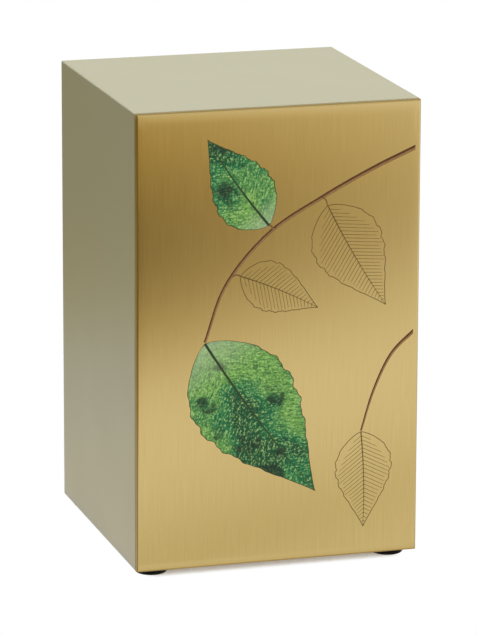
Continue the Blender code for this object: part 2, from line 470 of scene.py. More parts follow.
def print_patches():
    """All patches of the print, from the lowest to the one on top."""
    patches = [Patch(line, "line_ink") for leaf in DRAWN_LEAVES for line in drawn_leaf(leaf)]
    for twig in TWIGS:
        path = smooth_path(twig.points, TWIG_STEPS)
        widths = (twig.start_width, twig.end_width)
        patches.append(Patch(ribbon(path, *widths), "twig_ink"))
        light = [width * TWIG_LIGHT_SHARE for width in widths]
        shift = TWIG_LIGHT_SHIFT / TWIG_LIGHT_SHARE
        patches.append(Patch(ribbon(path, *light, shift), "twig_light_ink"))
    for leaf in (SMALL_LEAF, LARGE_LEAF):
        patches.append(Patch(blade_outline(leaf), "leaf_edge_ink"))
        patches.append(Patch(blade_outline(leaf, inset=LEAF_EDGE), leaf.name + "_leaf_print"))
    return patches


# Node trees and finished pieces

def add_node(tree, kind, settings=None, *values, **named):
    """Adds a node with its settings and fills its inputs in order or by name.

    It is a shader node unless its kind says otherwise. Its settings can hold a ramp's stops, and one word in
    their place is its operation.
    """
    made = tree.nodes.new(kind if "Node" in kind else "ShaderNode" + kind)
    if isinstance(settings, str):
        settings = {"operation": settings}
    for name, value in (settings or {}).items():
        if name == "stops":
            fill_ramp(made.color_ramp, value)
        else:
            setattr(made, name, value)
    shown = [socket for socket in made.inputs if socket.enabled]
    for socket, value in zip(shown, values):
        fill_input(tree, socket, value)
    for name, value in named.items():
        fill_input(tree, made.inputs[name.replace("_", " ")], value)
    return made


def fill_input(tree, socket, value):
    """Sets an input to a number or colour, or links it to an output, or to the first output of a node."""
    if isinstance(value, bpy.types.Node):
        value = next(output for output in value.outputs if output.enabled)
    if isinstance(value, bpy.types.NodeSocket):
        tree.links.new(value, socket)
    else:
        socket.default_value = value


def fill_ramp(ramp, stops):
    """Gives a colour ramp a grey level or a colour at each position."""
    while len(ramp.elements) < len(stops):
        ramp.elements.new(0.5)
    for element, (position, colour) in zip(ramp.elements, stops):
        element.position = position
        element.color = (colour, colour, colour, 1.0) if isinstance(colour, float) else tuple(colour)


def new_material(name):
    """A material, the function that adds a node to it, and its Object coordinates."""
    material = bpy.data.materials.new(name)
    material.use_nodes = True
    add = functools.partial(add_node, material.node_tree)
    return material, add, add("TexCoord").outputs["Object"]


def set_shader(material, **named):
    """Fills inputs of the material's Principled shader."""
    tree = material.node_tree
    for name, value in named.items():
        fill_input(tree, tree.nodes["Principled BSDF"].inputs[name.replace("_", " ")], value)


def per_metre(metres):
    """A noise scale whose features are about as far apart as the given length."""
    return 1.0 / metres


def varied(add, colour, noise, low, high, dark, light):
    """A colour that is darker and lighter by turns, as a noise goes from low to high."""
    value = add("MapRange", None, noise, low, high, dark, light)
    return add("HueSaturation", Value=value, Color=colour)


def link_object(name, mesh):
    made = bpy.data.objects.new(name, mesh)
    bpy.context.scene.collection.objects.link(made)
    return made


def as_mesh_piece(obj, name):
    """Turns what the modifiers of obj make into a plain mesh object, and removes obj."""
    evaluated = obj.evaluated_get(bpy.context.evaluated_depsgraph_get())
    mesh = bpy.data.meshes.new_from_object(evaluated)
    bpy.data.objects.remove(obj, do_unlink=True)
    mesh.name = name
    return link_object(name, mesh)


def dress(piece, slot, *nodes):
    """Hangs a piece under the root and hides the nodes that it stands for. The slot is not used."""
    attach(piece, "root")
    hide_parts(*nodes)


def box_object(name, low, high):
    """A box between two corners, with its place in its mesh."""
    mesh = bpy.data.meshes.new(name)
    shape = bmesh.new()
    size = Vector(high) - Vector(low)
    middle = (Vector(high) + Vector(low)) / 2
    bmesh.ops.create_cube(shape, size=1.0, matrix=Matrix.Translation(middle) @ Matrix.Diagonal((*size, 1.0)))
    shape.to_mesh(mesh)
    shape.free()
    return link_object(name, mesh)


def turned_mesh(name, profile, steps):
    """A turned solid about Z from (radius, height) pairs that run down its outside, from axis to axis."""
    points, faces, rings = [], [], []
    for radius, height in profile:
        first, count = len(points), steps if radius > 0 else 1
        for step in range(count):
            turn = 2 * math.pi * step / steps
            points.append((radius * math.cos(turn), radius * math.sin(turn), height))
        rings.append([first + step % count for step in range(steps)])
    for upper, lower in zip(rings, rings[1:]):
        for step in range(steps):
            following = (step + 1) % steps
            corners = (upper[step], lower[step], lower[following], upper[following])
            faces.append(list(dict.fromkeys(corners)))
    mesh = bpy.data.meshes.new(name)
    mesh.from_pydata(points, [], faces)
    return mesh


def cut_out(obj, cutter):
    cut = obj.modifiers.new(cutter.name, "BOOLEAN")
    cut.solver = "EXACT"
    cut.object = cutter


def smooth_but_sharp_over(mesh, degrees):
    mesh.shade_smooth()
    mesh.set_sharp_from_angle(angle=math.radians(degrees))


def repeat_tree(name, primitive, fixed, material, spin):
    """A tree that repeats the object's own mesh at the points of a grid or circle, spread by its inputs."""
    tree = bpy.data.node_groups.new(name, "GeometryNodeTree")
    tree.interface.new_socket("Geometry", in_out="INPUT", socket_type="NodeSocketGeometry")
    for label in ("Width", "Depth", "Centre Y"):
        tree.interface.new_socket(label, in_out="INPUT", socket_type="NodeSocketFloat")
    tree.interface.new_socket("Seed", in_out="INPUT", socket_type="NodeSocketInt")
    tree.interface.new_socket("Geometry", in_out="OUTPUT", socket_type="NodeSocketGeometry")
    add = functools.partial(add_node, tree)
    given = add("NodeGroupInput").outputs
    unit = add(primitive, None, **fixed)
    stretch = add("CombineXYZ", None, given["Width"], given["Depth"], 1.0)
    shift = add("CombineXYZ", None, 0.0, given["Centre Y"])
    places = add("GeometryNodeTransform", Geometry=unit, Translation=shift, Scale=stretch)
    least, most = (0.0, 0.0, 0.0), (0.0, 0.0, spin)
    vector = {"data_type": "FLOAT_VECTOR"}
    turns = add("FunctionNodeRandomValue", vector, least, most, Seed=given["Seed"])
    copied = {"Points": places, "Instance": given["Geometry"], "Rotation": turns}
    copies = add("GeometryNodeInstanceOnPoints", **copied)
    solid = add("GeometryNodeRealizeInstances", Geometry=copies)
    dressed = add("GeometryNodeSetMaterial", Geometry=solid, Material=material)
    add("NodeGroupOutput", None, dressed)
    return tree


def repeated_piece(name, mesh, tree, sizes):
    """The mesh repeated by the tree, as one plain mesh. The tree's inputs are set by their identifiers."""
    source = link_object(name + "_one", mesh)
    repeat = source.modifiers.new("repeat", "NODES")
    repeat.node_group = tree
    for socket in tree.interface.items_tree:
        if socket.in_out == "INPUT" and socket.name in sizes:
            repeat[socket.identifier] = sizes[socket.name]
    return as_mesh_piece(source, name)


# Lacquered body

def champagne_lacquer(settings):
    """Sprayed satin lacquer with pearl pigment: soft reflections, a faint sparkle and a little orange peel.

    Real specks of the pigment are too fine to show in the render, so they are drawn as coarse as it needs.
    """
    material, add, place = new_material("champagne_pearl_lacquer")
    flake = add("TexNoise", Vector=place, Scale=per_metre(settings.flake), Detail=1.0)
    cloud = add("TexNoise", Vector=place, Scale=per_metre(60 * MM), Detail=2.0)
    spread = add("MapRange", None, flake, 0.0, 1.0, 0.95, 1.05)
    drift = add("MapRange", None, cloud, 0.0, 1.0, -0.02, 0.02)
    value = add("Math", "ADD", spread, drift)
    tint = add("HueSaturation", Value=value, Color=settings.lacquer)
    sheen = add("MapRange", None, cloud, 0.3, 0.7, 0.36, 0.40)
    peel = add("TexNoise", Vector=place, Scale=per_metre(settings.peel), Detail=1.0)
    waves = add("Bump", Strength=0.05, Distance=0.05 * MM, Height=peel)
    set_shader(material, Base_Color=tint, Metallic=0.0, Roughness=sheen, Normal=waves)
    return material


def bare_fibreboard(settings):
    """Raw fibreboard, sawn and unpainted: dull, brown and finely flecked."""
    material, add, place = new_material("bare_fibreboard")
    fibres = add("TexNoise", Vector=place, Scale=per_metre(0.8 * MM), Detail=4.0)
    tint = varied(add, settings.bare_board, fibres, 0.0, 1.0, 0.8, 1.2)
    rough = add("Bump", Strength=0.3, Distance=0.1 * MM, Height=fibres)
    set_shader(material, Base_Color=tint, Roughness=0.9, Normal=rough)
    return material


class URN_OT_body(bpy.types.Operator):
    """Build the lacquered box, hollow inside, with its rounded edges and the rebate for the closing board"""

    bl_idname = "urn.body"
    bl_label = "Lacquered body"

    def execute(self, context):
        settings = context.scene.urn_body
        body = box_object("lacquered_body", BODY_LOW, BODY_HIGH)
        bevel = body.modifiers.new("rounded_edges", "BEVEL")
        bevel.width = settings.edge_radius
        bevel.segments = EDGE_SEGMENTS
        overrun = Vector((0, 0, CUTTER_OVERRUN))
        wall = Vector((settings.wall, settings.wall, 0))
        lip = Vector((settings.lip, settings.lip, 0))
        ceiling = Vector((0, 0, settings.wall))
        ledge = Vector((BODY_HIGH.x, BODY_HIGH.y, BOARD_TOP + CONTACT_GAP))
        hollows = [
            box_object("chamber", BODY_LOW + wall - overrun, BODY_HIGH - wall - ceiling),
            box_object("rebate", BODY_LOW + lip - overrun, ledge - lip),
        ]
        hole = settings.pilot_hole / 2
        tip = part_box("base_screw_front")[1].z + MM
        drill_profile = ((0, tip), (hole, tip), (hole, 0), (0, 0))
        for node in SCREW_NODES:
            middle = middle_of(node)
            drill = link_object("pilot_" + node, turned_mesh(node, drill_profile, HOLE_STEPS))
            drill.data.transform(Matrix.Translation((middle.x, middle.y, 0)))
            hollows.append(drill)
        for hollow in hollows:
            cut_out(body, hollow)
        piece = as_mesh_piece(body, "lacquered_body")
        for hollow in hollows:
            bpy.data.objects.remove(hollow, do_unlink=True)
        piece.data.materials.append(champagne_lacquer(settings))
        piece.data.materials.append(bare_fibreboard(settings))
        inner = BODY_LOW + lip / 2
        outer = BODY_HIGH - lip / 2
        for face in piece.data.polygons:
            middle = face.center
            inside = inner.x < middle.x < outer.x and inner.y < middle.y < outer.y
            bare = inside and BODY_LOW.z + 0.1 * MM < middle.z < outer.z - settings.wall / 2
            face.material_index = 1 if bare else 0
        smooth_but_sharp_over(piece.data, 35)
        weights = piece.modifiers.new("flat_faces", "WEIGHTED_NORMAL")
        weights.keep_sharp = True
        dress(piece, "lacquer", "body")
        return {"FINISHED"}


# Front plate

def brushed_brass(settings):
    """Brass brushed from top to bottom and clear lacquered: it mirrors softly up and down, smeared sideways.

    Single brushing lines are too fine to show in the render, so the grain draws bundles of them.
    """
    material, add, _ = new_material("brushed_brass")
    unrolled = add("UVMap", {"uv_map": "plate"})
    squeeze = (per_metre(settings.grain), per_metre(settings.grain_length), 1.0)
    lines = add("Mapping", Vector=unrolled, Scale=squeeze)
    grain = add("TexNoise", Vector=lines, Scale=1.0, Detail=3.0, Roughness=0.65)
    tint = varied(add, settings.brass, grain, 0.25, 0.75, 0.94, 1.06)
    rough = add("MapRange", None, grain, 0.25, 0.75, 0.17, 0.20)
    groove = add("Bump", Strength=0.08, Distance=0.02 * MM, Height=grain)
    across = add("Tangent", {"direction_type": "UV_MAP", "uv_map": "plate"})
    drawn = {"Anisotropic": 1.0, "Tangent": across, "Normal": groove}
    set_shader(material, Base_Color=tint, Metallic=1.0, Roughness=rough, **drawn)
    return material


def sheared_and_shaded_brass(settings):
    """The plate's cut edges: bare, dull sheared brass, painted shade on sides and bottom, painted highlight
    on top.
    """
    material, add, place = new_material("sheared_brass_edge")
    tooth = add("TexNoise", Vector=place, Scale=per_metre(0.5 * MM), Detail=3.0)
    uneven = add("MapRange", None, tooth, 0.3, 0.7, 0.88, 1.12)
    height = add("SeparateXYZ", None, place).outputs["Z"]
    # Painted light: full colour along the top edge as a painted highlight, darkened below it as painted shade
    low, high = (PLATE_HIGH.z - depth for depth in TOP_HIGHLIGHT_DEPTHS)
    painted_top_highlight = add("MapRange", None, height, low, high, EDGE_SHADE_VALUE, 1.0)
    value = add("Math", "MULTIPLY", uneven, painted_top_highlight)
    tint = add("HueSaturation", Value=value, Color=settings.cut_edge_and_shade)
    gloss = add("MapRange", None, tooth, 0.3, 0.7, 0.42, 0.52)
    relief = add("Bump", Strength=0.2, Distance=0.03 * MM, Height=tooth)
    set_shader(material, Base_Color=tint, Metallic=1.0, Roughness=gloss, Normal=relief)
    return material


def flat_print(name, colour):
    """Thin printing ink under the plate's clear lacquer, a little uneven where it lies over the brushing."""
    material, add, place = new_material(name)
    blots = add("TexNoise", Vector=place, Scale=per_metre(1.5 * MM), Detail=2.0)
    tint = varied(add, colour, blots, 0.0, 1.0, 0.75, 1.25)
    set_shader(material, Base_Color=tint, Metallic=0.0, Roughness=0.42, Specular_IOR_Level=0.2)
    return material


def printed_leaf(settings, leaf):
    """Leaf print in mottled greens under clear lacquer, with pale fibres that branch from its midrib."""
    material, add, place = new_material(leaf.name + "_leaf_print")
    stalk = (PLATE_LOW.x + leaf.base[0], 0.0, PLATE_LOW.z + leaf.base[1])
    turn = (0.0, -math.radians(leaf.turn), 0.0)
    blade = add("Mapping", {"vector_type": "TEXTURE"}, Vector=place, Location=stalk, Rotation=turn)
    axes = add("SeparateXYZ", None, blade)
    along, beside = axes.outputs["X"], axes.outputs["Z"]
    squared = add("Math", "MULTIPLY", along, along)
    bow = -leaf.bow / leaf.length**2
    aside = add("Math", "MULTIPLY_ADD", squared, bow, beside)
    reach = add("Math", "ABSOLUTE", aside)
    straight = add("Math", "MULTIPLY_ADD", reach, -VEIN_SWEEP, along)
    wander = add("TexNoise", Vector=place, Scale=per_metre(7 * MM), Detail=2.0)
    drift = add("MapRange", None, wander, 0.0, 1.0, -1.6 * MM, 1.6 * MM)
    vein = add("Math", "ADD", straight, drift)

    # Broad greens, from yellow green near the stalk to dark at the tip
    patches = add("TexNoise", Vector=place, Scale=per_metre(30 * MM), Detail=2.0)
    lean = add("MapRange", None, along, 0.0, leaf.length, 0.10, -0.12)
    tone = add("Math", "ADD", patches, lean)
    stops = ((0.36, settings.leaf_dark), (0.46, settings.leaf_mid), (0.60, settings.leaf_light))
    greens = add("ValToRGB", {"stops": stops}, tone)

    # Fine fibres along the side veins, and specks between them
    fibre = add("Math", "MULTIPLY", vein, per_metre(settings.fibre))
    fibre_reach = add("Math", "MULTIPLY", aside, per_metre(settings.fibre_length))
    fibre_place = add("CombineXYZ", None, fibre, fibre_reach)
    fibres = add("TexNoise", Vector=fibre_place, Scale=1.0, Detail=2.0, Roughness=0.7)
    specks = add("TexNoise", Vector=place, Scale=per_metre(1.1 * MM), Detail=2.0)
    texture = add("Math", "ADD", fibres, specks)
    light_share = add("MapRange", None, texture, 1.02, 1.26, 0.0, 0.68)
    dark_share = add("MapRange", None, texture, 0.98, 0.78, 0.0, 0.75)
    blend = {"data_type": "RGBA"}
    lit = add("Mix", blend, light_share, greens, settings.leaf_fibre)
    speckled = add("Mix", blend, dark_share, lit, settings.leaf_dark)

    # Near-black blotches, the side veins, the pale end at the stalk and the midrib
    blots = add("TexNoise", Vector=place, Scale=per_metre(12 * MM), Detail=3.0)
    blot_share = add("MapRange", None, blots, 0.60, 0.68, 0.0, 0.8)
    blotted = add("Mix", blend, blot_share, speckled, settings.leaf_blot)
    between = add("Math", "PINGPONG", vein, VEIN_SPACING)
    vein_share = add("MapRange", None, between, 0.10 * MM, 0.32 * MM, 0.45, 0.0)
    veined = add("Mix", blend, vein_share, blotted, settings.leaf_dark)
    pale_share = add("MapRange", None, along, 0.02 * leaf.length, 0.22 * leaf.length, 0.55, 0.0)
    paled = add("Mix", blend, pale_share, veined, settings.leaf_pale)
    rib_width = add("MapRange", None, along, 0.0, leaf.length, 0.75 * MM, 0.15 * MM)
    on_rib = add("Math", "LESS_THAN", reach, rib_width)
    ribbed = add("Mix", blend, on_rib, paled, settings.leaf_rib)
    set_shader(material, Base_Color=ribbed, Metallic=0.0, Roughness=0.42, Specular_IOR_Level=0.2)
    return material


SIDES = (Vector((-1, 0)), Vector((0, -1)), Vector((1, 0)), Vector((0, 1)))


class PlateForm:
    """The plate's front, which falls away slowly near its edges and then rounds over them."""

    def __init__(self, settings):
        self.radius = settings.edge_radius
        self.corner = settings.corner_radius
        self.roll_off = settings.roll_off
        self.drops = (settings.side_drop, settings.side_drop, settings.side_drop, settings.top_drop)
        self.corner_tilt = math.asin(1 - self.corner / self.radius)

    def insets(self, point):
        return point.x, point.y, PLATE_WIDTH - point.x, PLATE_HEIGHT - point.y

    def inset_at(self, tilt):
        """How far in from the outline the rounded edge has some tilt."""
        return self.radius * (1 - math.sin(tilt))

    def tilt_and_side(self, point):
        """The tilt of the rounded edge at a point of the face, and the direction of the nearest side."""
        insets = self.insets(point)
        nearest = min(insets)
        tilt = math.asin(min(1.0, max(0.0, 1 - nearest / self.radius)))
        outward = Vector((0, 0))
        for side, inset in zip(SIDES, insets):
            if inset < nearest + TINY:
                outward += side
        return tilt, outward.normalized()

    def surface(self, point, tilt, outward):
        """Where a point lies in the frame, and the normal there."""
        depth = self.radius * (1 - math.cos(tilt))
        slope = Vector((0, 0))
        for side, inset, drop in zip(SIDES, self.insets(point), self.drops):
            rest = max(0.0, 1 - inset / self.roll_off)
            depth += drop * rest**3
            slope += side * (3 * drop / self.roll_off * rest**2)
        lean = outward * math.sin(tilt) + slope * math.cos(tilt)
        place = Vector((PLATE_LOW.x + point.x, PLATE_LOW.y + depth, PLATE_LOW.z + point.y))
        return place, Vector((lean.x, -math.cos(tilt), lean.y)).normalized()


def rectangle_points(inset):
    """Points anticlockwise round the rectangle at an inset from the plate's edges, closer near corners."""
    low, right, top = inset, PLATE_WIDTH - inset, PLATE_HEIGHT - inset
    corners = [Vector(pair) for pair in ((low, low), (right, low), (right, top), (low, top))]
    points = []
    for start, end in zip(corners, corners[1:] + corners[:1]):
        length = (end - start).length
        inner = length - 2 * NEAR_CORNER
        count = max(1, round(inner / EDGE_SPACING))
        places = [0.0] + [NEAR_CORNER + inner * number / count for number in range(count + 1)]
        points += [start.lerp(end, place / length) for place in places]
    return points


def spokes(outline):
    """Each point of the face's outline with the way in which the edge rounds over, several at a corner."""
    made = []
    for number, point in enumerate(outline):
        before = (point - outline[number - 1]).normalized()
        after = (outline[(number + 1) % len(outline)] - point).normalized()
        out_before, out_after = Vector((before.y, -before.x)), Vector((after.y, -after.x))
        steps = 0 if before.dot(after) > STRAIGHT_ON else CORNER_STEPS
        for step in range(steps + 1):
            turn = math.pi / 2 * step / CORNER_STEPS
            made.append((number, (out_before * math.cos(turn) + out_after * math.sin(turn)).normalized()))
    return made


class PlateMesh:
    """The plate's points and faces while it is built, each point with its normal and its unrolled place."""

    def __init__(self):
        self.places, self.normals, self.unrolled = [], [], []
        self.faces, self.slots = [], []

    def add_point(self, place, normal, unrolled):
        self.places.append(place)
        self.normals.append(normal)
        self.unrolled.append(unrolled)
        return len(self.places) - 1

    def add_face(self, corners, slot=0):
        self.faces.append(corners)
        self.slots.append(slot)

    def add_band(self, inner, outer, slot=0):
        """Joins two loops of points. Where the inner one stays at a point, the face is a triangle."""
        for place, following in zip(range(len(inner)), list(range(1, len(inner))) + [0]):
            corners = [inner[place], outer[place], outer[following], inner[following]]
            self.add_face(corners[:3] if inner[place] == inner[following] else corners, slot)

    def as_object(self, name):
        """The finished mesh. Its last face is the flat back."""
        mesh = bpy.data.meshes.new(name)
        mesh.from_pydata(self.places, [], self.faces)
        mesh.shade_smooth()
        mesh.polygons.foreach_set("material_index", self.slots)
        sheet = mesh.uv_layers.new(name="plate")
        for loop, spot in zip(mesh.loops, sheet.uv):
            spot.vector = self.unrolled[loop.vertex_index]
        normals = [self.normals[loop.vertex_index] for loop in mesh.loops]
        for place in mesh.polygons[-1].loop_indices:
            normals[place] = (0.0, 1.0, 0.0)
        mesh.normals_split_custom_set(normals)
        return link_object(name, mesh)


def divided_face(form, patches):
    """The face cut into triangles along its rings, the print's limits and the outlines of all patches."""
    points = rectangle_points(form.corner)
    edges, areas = [], [list(range(len(points)))]

    def add_line(line):
        first = len(points)
        points.extend(line)
        return list(range(first, len(points)))

    rounded = [form.inset_at(math.radians(tilt)) for tilt in range(0, 90, RING_DEGREES)]
    worn_width = form.roll_off - form.radius
    worn = [form.radius + worn_width * step / ROLL_OFF_STEPS for step in range(1, ROLL_OFF_STEPS + 1)]
    for inset in rounded + worn:
        if inset > form.corner + CLEAR_OF_OUTLINE:
            loop = add_line(rectangle_points(inset))
            edges += zip(loop, loop[1:] + loop[:1])
    limits = add_line([Vector(point) for point in PRINT_LIMITS])
    edges += zip(limits, limits[1:])
    areas += [add_line(patch.outline) for patch in patches]
    return delaunay_2d_cdt(points, edges, areas, 1, TINY / 2, True)


def plate_object(settings, patches, inks):
    """The whole plate: its face in the inks of its patches, its rounded edge, and its dull sides and back."""
    form = PlateForm(settings)
    plate = PlateMesh()
    flat, _, triangles, sources, _, origins = divided_face(form, patches)
    made = {}
    for triangle, origin in zip(triangles, origins):
        if 0 not in origin:
            continue
        for corner in triangle:
            if corner not in made:
                place, normal = form.surface(flat[corner], *form.tilt_and_side(flat[corner]))
                made[corner] = plate.add_point(place, normal, flat[corner])
        middle = (flat[triangle[0]] + flat[triangle[1]] + flat[triangle[2]]) / 3
        printed = max(origin) > 0 and in_print(middle)
        slot = 1 + inks.index(patches[max(origin) - 1].ink) if printed else 0
        plate.add_face([made[corner] for corner in triangle], slot)

    outline = rectangle_points(form.corner)
    on_outline = {}
    for corner, source in enumerate(sources):
        if corner in made:
            on_outline.update(dict.fromkeys(source, made[corner]))
    wheel = spokes(outline)
    loop = [on_outline[number] for number, _ in wheel]
    # The dull slot holds the cut-edge brass with its painted shade and painted highlight
    dull = len(inks) + 1
    for step in range(1, RIM_STEPS + 1):
        tilt = form.corner_tilt + (math.pi / 2 - form.corner_tilt) * step / RIM_STEPS
        ring = []
        for number, outward in wheel:
            point = outline[number] + outward * (form.corner - form.inset_at(tilt))
            unrolled = outline[number] + outward * form.radius * (tilt - form.corner_tilt)
            ring.append(plate.add_point(*form.surface(point, tilt, outward), unrolled))
        plate.add_band(loop, ring, dull if tilt > DULL_AND_SHADED_TILT else 0)
        loop = ring
    back = []
    for edge, (_, outward) in zip(loop, wheel):
        place = Vector((plate.places[edge].x, PLATE_HIGH.y, plate.places[edge].z))
        unrolled = plate.unrolled[edge] + outward * (PLATE_THICKNESS - form.radius)
        back.append(plate.add_point(place, Vector((outward.x, 0.0, outward.y)), unrolled))
    plate.add_band(loop, back, dull)
    plate.add_face(back[::-1], dull)
    return plate.as_object("brushed_front_plate")


class URN_OT_front_plate(bpy.types.Operator):
    """Build the brass plate with its soft edges and the flat spray of leaves printed on it"""

    bl_idname = "urn.front_plate"
    bl_label = "Printed front plate"

    def execute(self, context):
        settings = context.scene.urn_plate
        materials = [
            flat_print("line_ink", settings.ink),
            flat_print("twig_ink", settings.twig),
            flat_print("twig_light_ink", settings.twig_light),
            flat_print("leaf_edge_ink", settings.leaf_rib),
            printed_leaf(settings, SMALL_LEAF),
            printed_leaf(settings, LARGE_LEAF),
        ]
        piece = plate_object(settings, print_patches(), [material.name for material in materials])
        for material in [brushed_brass(settings)] + materials + [sheared_and_shaded_brass(settings)]:
            piece.data.materials.append(material)
        dress(piece, "brushed_brass", "front_plate")
        return {"FINISHED"}


# Closing board, feet and screws

def black_laminate(settings):
    """Black melamine laminate pressed with a fine pebble texture: nearly matte, with a faint even sheen."""
    material, add, place = new_material("black_melamine_laminate")
    pebbles = add("TexVoronoi", Vector=place, Scale=per_metre(0.9 * MM))
    wear = add("TexNoise", Vector=place, Scale=per_metre(35 * MM), Detail=3.0)
    tint = varied(add, settings.board, wear, 0.3, 0.7, 0.85, 1.2)
    gloss = add("MapRange", None, wear, 0.3, 0.7, 0.48, 0.62)
    relief = add("Bump", Strength=0.4, Distance=0.05 * MM, Height=pebbles)
    set_shader(material, Base_Color=tint, Roughness=gloss, Normal=relief)
    return material


def moulded_rubber(settings):
    """Moulded black rubber: matte, with a little grey dust.

    The grain of its mould is too fine to show in the render, so it is drawn as coarse as it needs.
    """
    material, add, place = new_material("moulded_black_rubber")
    grain = add("TexNoise", Vector=place, Scale=per_metre(0.4 * MM), Detail=2.0)
    dust = add("TexNoise", Vector=place, Scale=per_metre(5 * MM), Detail=4.0)
    tint = varied(add, settings.rubber, dust, 0.4, 0.7, 0.9, 1.5)
    gloss = add("MapRange", None, dust, 0.4, 0.7, 0.62, 0.80)
    relief = add("Bump", Strength=0.3, Distance=0.04 * MM, Height=grain)
    set_shader(material, Base_Color=tint, Roughness=gloss, Normal=relief, Specular_IOR_Level=0.08)
    return material


def zinc_plate(settings):
    """Bright zinc plating on steel: a soft metal shine, a little cloudy."""
    material, add, place = new_material("zinc_plated_steel")
    cloud = add("TexNoise", Vector=place, Scale=per_metre(1.5 * MM), Detail=3.0)
    tint = varied(add, settings.zinc, cloud, 0.3, 0.7, 0.88, 1.05)
    gloss = add("MapRange", None, cloud, 0.3, 0.7, 0.28, 0.42)
    set_shader(material, Base_Color=tint, Metallic=1.0, Roughness=gloss)
    return material


class URN_OT_base_board(bpy.types.Operator):
    """Give the closing board under the urn its black laminate"""

    bl_idname = "urn.base_board"
    bl_label = "Closing board"

    def execute(self, context):
        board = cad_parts["base_board"]
        laminate = black_laminate(context.scene.urn_base)
        if not board.material_slots:
            board.data.materials.append(laminate)
        for slot in board.material_slots:
            slot.material = laminate
        return {"FINISHED"}


class URN_OT_feet(bpy.types.Operator):
    """Build the four low round rubber feet under the corners"""

    bl_idname = "urn.feet"
    bl_label = "Rubber feet"

    def execute(self, context):
        settings = context.scene.urn_base
        low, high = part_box(FOOT_NODES[0])
        radius = (high.x - low.x) / 2
        edge, bevel, dimple = settings.foot_edge, settings.foot_bevel, settings.foot_dimple
        profile = [(0.0, high.z), (radius - bevel, high.z), (radius, high.z - bevel)]
        for step in range(FOOT_ARC_STEPS + 1):
            turn = math.pi / 2 * step / FOOT_ARC_STEPS
            profile.append((radius - edge + edge * math.cos(turn), edge - edge * math.sin(turn)))
        floor, depth = dimple * DIMPLE_FLOOR_SHARE, dimple * DIMPLE_DEPTH_SHARE
        profile += [(dimple, 0.0), (floor, depth), (0.0, depth)]
        foot = turned_mesh("foot", profile, FOOT_STEPS)
        smooth_but_sharp_over(foot, 50)
        grid = {"Size_X": 1.0, "Size_Y": 1.0, "Vertices_X": 2, "Vertices_Y": 2}
        tree = repeat_tree("feet_in_corners", "GeometryNodeMeshGrid", grid, moulded_rubber(settings), 0.0)
        feet = repeated_piece("rubber_feet", foot, tree, spread_of(FOOT_NODES))
        dress(feet, "black_rubber", *FOOT_NODES)
        return {"FINISHED"}


class URN_OT_base_screws(bpy.types.Operator):
    """Build the four countersunk screws that hold the closing board"""

    bl_idname = "urn.base_screws"
    bl_label = "Base screws"

    def execute(self, context):
        settings = context.scene.urn_base
        low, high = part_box(SCREW_NODES[0])
        head = (high.x - low.x) / 2
        shank, rim = settings.screw_shank / 2, settings.screw_rim
        profile = (
            (0.0, high.z),
            (shank, high.z - settings.screw_tip),
            (shank, low.z + settings.screw_head),
            (head, low.z + rim),
            (head - rim, low.z),
            (0.0, low.z),
        )
        screw = link_object("screw", turned_mesh("screw", profile, SCREW_STEPS))
        arm, slit = settings.recess_arm / 2, settings.recess_width / 2
        top = low.z + settings.recess_depth
        cutters = [
            box_object("recess_along_x", (-arm, -slit, -MM), (arm, slit, top)),
            box_object("recess_along_y", (-slit, -arm, -MM), (slit, arm, top)),
        ]
        for cutter in cutters:
            cut_out(screw, cutter)
        made = as_mesh_piece(screw, "screw")
        for cutter in cutters + [made]:
            mesh = cutter.data
            bpy.data.objects.remove(cutter, do_unlink=True)
        smooth_but_sharp_over(mesh, 30)
        circle = {"Vertices": 4, "Radius": 0.5}
        tree = repeat_tree("screws_mid_side", "GeometryNodeMeshCircle", circle, zinc_plate(settings), math.pi)
        screws = repeated_piece("base_screws", mesh, tree, {**spread_of(SCREW_NODES), "Seed": 4})
        dress(screws, "zinc_steel", *SCREW_NODES)
        return {"FINISHED"}


# Studio

def lit_table(settings):
    """White acrylic lit from below, with a painted warm shadow between the front feet, ramped from occlusion.
    """
    material, add, place = new_material("lit_white_acrylic")
    covered = {"samples": 8}
    sky = add("AmbientOcclusion", covered, Distance=SHADOW_REACH).outputs["AO"]
    tones = (settings.shadow, settings.shadow_middle, settings.shadow_edge, settings.table)
    shade = add("ValToRGB", {"stops": list(zip(SKY_SHARES, tones))}, sky)
    axes = add("SeparateXYZ", None, place)
    aside = add("Math", "ABSOLUTE", axes.outputs["X"])
    # The painted shadow fades out past the sides, so it shows only between the front feet
    clear = add("MapRange", None, aside, *SHADOW_SIDES, 0.0, 1.0)
    tone = add("Mix", {"data_type": "RGBA"}, clear, shade, settings.table)
    unlit = {"Base_Color": (0.0, 0.0, 0.0, 1.0), "Roughness": 1.0, "Specular_IOR_Level": 0.0}
    set_shader(material, Emission_Color=tone, Emission_Strength=1.0, **unlit)
    return material


